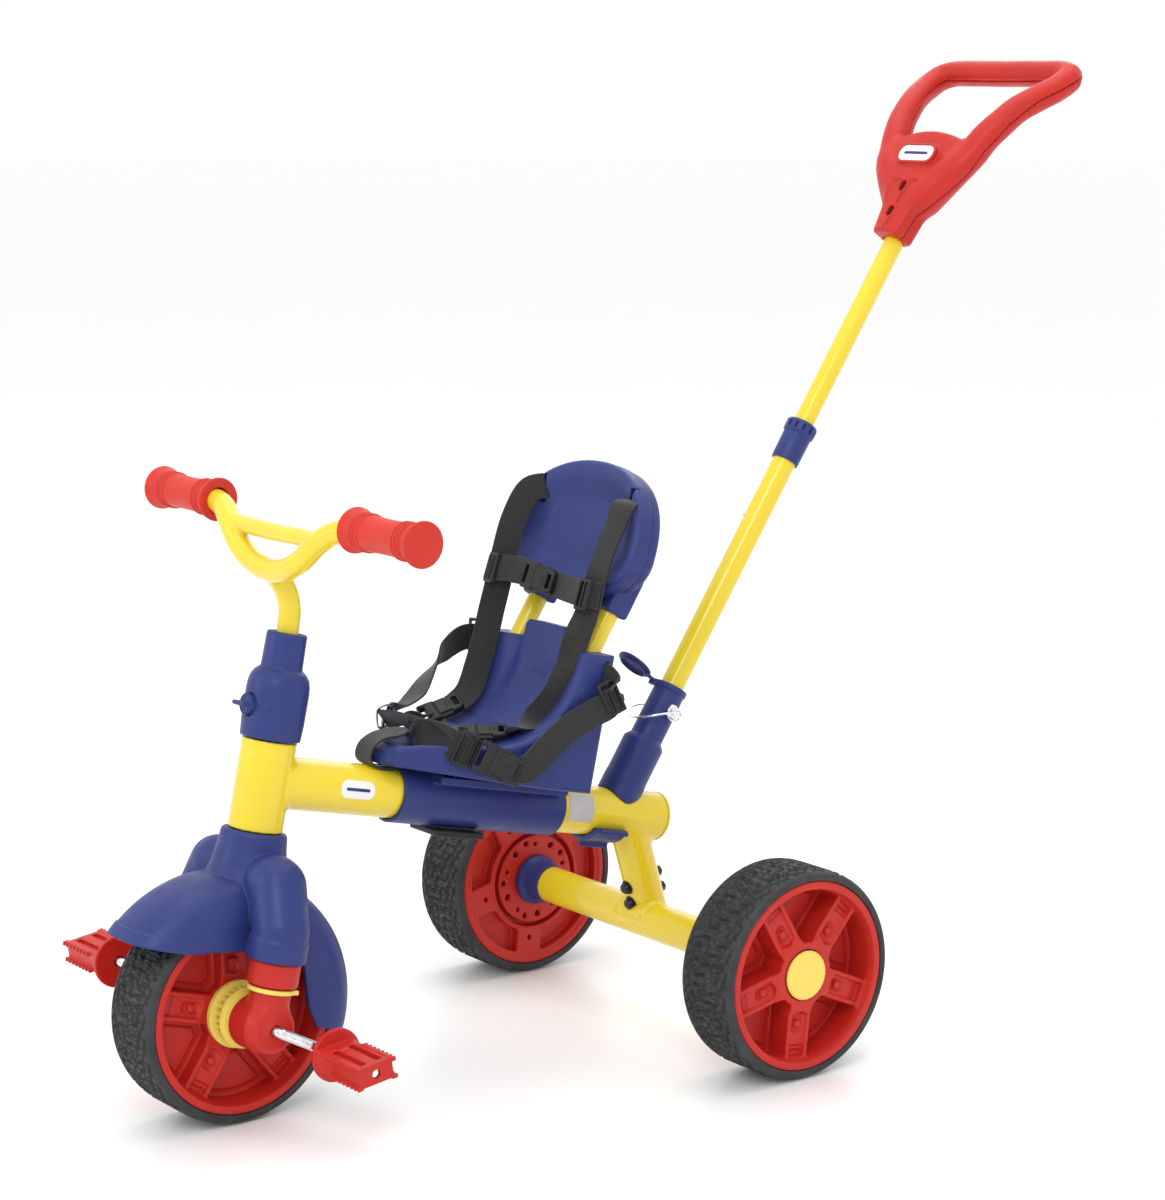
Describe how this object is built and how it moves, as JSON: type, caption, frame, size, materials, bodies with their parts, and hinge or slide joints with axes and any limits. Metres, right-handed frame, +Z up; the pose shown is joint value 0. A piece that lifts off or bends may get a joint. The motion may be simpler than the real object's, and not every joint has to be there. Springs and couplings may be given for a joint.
{
  "type": "children's tricycle",
  "caption": "Push-along children's tricycle with pedal-driven front wheel, round-tube frame, bucket seat with headrest and harness, and a telescoping push handle.",
  "frame": {"origin": "on the floor, under the centre of the box around the whole tricycle at rest", "axes": "+Z up, -Y forward (the way the tricycle travels), +X to the rider's left, across the wheels"},
  "size_m": [0.498, 1.0866, 0.9392],
  "materials": {
    "frame_paint": "glossy yellow powder coat",
    "blue_plastic": "satin moulded dark blue",
    "red_plastic": "satin moulded red",
    "yellow_plastic": "satin moulded pale yellow",
    "black_plastic": "satin black",
    "tyre": "matt dark grey, moulded tread",
    "webbing": "woven black webbing",
    "steel": "bright plated steel"
  },
  "bodies": {
    "frame": {"main_frame": "frame_paint", "frame_end_cap": "frame_paint", "rear_axle_tube": "frame_paint", "rear_axle_rod": "steel", "strut_bolt_upper": "steel", "strut_bolt_lower": "steel", "axle_bushing_left": "blue_plastic", "axle_bushing_right": "blue_plastic", "headset_bush_lower": "black_plastic", "headset_bush_upper": "black_plastic", "handle_socket": "blue_plastic", "socket_saddle": "blue_plastic", "lock_pin": "steel", "handle_lower_tube": "frame_paint", "tube_collar": "blue_plastic"},
    "steering": {"fork_crown": "blue_plastic", "steerer_tube": "steel", "hub_housing_left": "red_plastic", "hub_housing_right": "red_plastic", "leg_clip_left": "yellow_plastic", "leg_clip_right": "yellow_plastic", "handlebar": "frame_paint", "grip_left": "red_plastic", "grip_right": "red_plastic", "handlebar_sleeve": "blue_plastic"},
    "lock_knob": {"lock_knob": "blue_plastic"},
    "front_wheel": {"front_tyre": "tyre", "front_rim": "red_plastic"},
    "clutch_ring": {"clutch_ring": "yellow_plastic"},
    "crank": {"pedal_crank": "steel"},
    "pedal_left": {"pedal_left": "red_plastic"},
    "pedal_right": {"pedal_right": "red_plastic"},
    "rear_wheel_left": {"rear_tyre_left": "tyre", "rear_rim_left": "red_plastic", "hub_cap_left": "yellow_plastic"},
    "rear_wheel_right": {"rear_tyre_right": "tyre", "rear_rim_right": "red_plastic", "hub_cap_right": "yellow_plastic"},
    "seat": {"seat_sleeve": "blue_plastic", "clamp_plate": "black_plastic", "seat_shell": "blue_plastic", "headrest_post_left": "frame_paint", "headrest_post_right": "frame_paint", "headrest": "blue_plastic", "shoulder_strap_left": "webbing", "shoulder_strap_right": "webbing", "chest_belt": "webbing", "lap_strap_left": "webbing", "lap_strap_right": "webbing", "crotch_strap": "webbing", "main_buckle": "black_plastic"},
    "push_handle": {"handle_upper_tube": "frame_paint", "handle_shell_front": "red_plastic", "handle_shell_back": "red_plastic", "handle_screw_lower": "steel", "handle_screw_upper": "steel"},
    "snap_button": {"snap_button": "steel"},
    "socket_cap": {"socket_cap": "blue_plastic"},
    "pin_bail": {"pin_bail": "steel"}
  },
  "joints": [
    {"name": "steering_turn", "type": "hinge", "parent": "frame", "child": "steering", "pos_m": [0, -0.43494, 0.1], "axis": [0, 0.2113, 0.9774], "range_deg": [-42, 42]},
    {"name": "handlebar_lock_turn", "type": "hinge", "parent": "steering", "child": "lock_knob", "pos_m": [0, -0.40615, 0.37513], "axis": [0, -0.9774, 0.2113], "range_deg": [0, 90]},
    {"name": "front_wheel_spin", "type": "hinge", "parent": "steering", "child": "front_wheel", "pos_m": [0, -0.43494, 0.1], "axis": [1, 0, 0], "continuous": true},
    {"name": "clutch_travel", "type": "slide", "parent": "front_wheel", "child": "clutch_ring", "axis": [1, 0, 0], "range_m": [-0.006, 0]},
    {"name": "crank_spin", "type": "hinge", "parent": "steering", "child": "crank", "pos_m": [0, -0.43494, 0.1], "axis": [1, 0, 0], "continuous": true},
    {"name": "pedal_left_spin", "type": "hinge", "parent": "crank", "child": "pedal_left", "pos_m": [0.14, -0.38594, 0.074], "axis": [1, 0, 0], "continuous": true},
    {"name": "pedal_right_spin", "type": "hinge", "parent": "crank", "child": "pedal_right", "pos_m": [-0.14, -0.48394, 0.126], "axis": [1, 0, 0], "continuous": true},
    {"name": "rear_wheel_left_spin", "type": "hinge", "parent": "frame", "child": "rear_wheel_left", "pos_m": [0.2145, 0.04456, 0.1], "axis": [1, 0, 0], "continuous": true},
    {"name": "rear_wheel_right_spin", "type": "hinge", "parent": "frame", "child": "rear_wheel_right", "pos_m": [-0.2145, 0.04456, 0.1], "axis": [1, 0, 0], "continuous": true},
    {"name": "seat_slide", "type": "slide", "parent": "frame", "child": "seat", "axis": [0, -0.9755, 0.2199], "range_m": [0, 0.04]},
    {"name": "handle_length", "type": "slide", "parent": "frame", "child": "push_handle", "axis": [0, 0.5606, 0.8281], "range_m": [-0.055, 0.055]},
    {"name": "snap_button_press", "type": "slide", "parent": "frame", "child": "snap_button", "axis": [-0.6428, -0.6343, 0.4295], "range_m": [-0.0016, 0], "stiffness_N_per_m": 400},
    {"name": "socket_cap_flip", "type": "hinge", "parent": "frame", "child": "socket_cap", "pos_m": [-0.0075, 0.06134, 0.33665], "axis": [0.8988, -0.304, 0.3158], "range_deg": [-30, 30]},
    {"name": "pin_bail_swing", "type": "hinge", "parent": "frame", "child": "pin_bail", "pos_m": [0, 0.06637, 0.30983], "axis": [1, 0, 0], "range_deg": [-40, 15]}
  ],
  "couplings": [
    {"joint": "crank_spin", "follows": "front_wheel_spin", "ratio": 1}
  ]
}
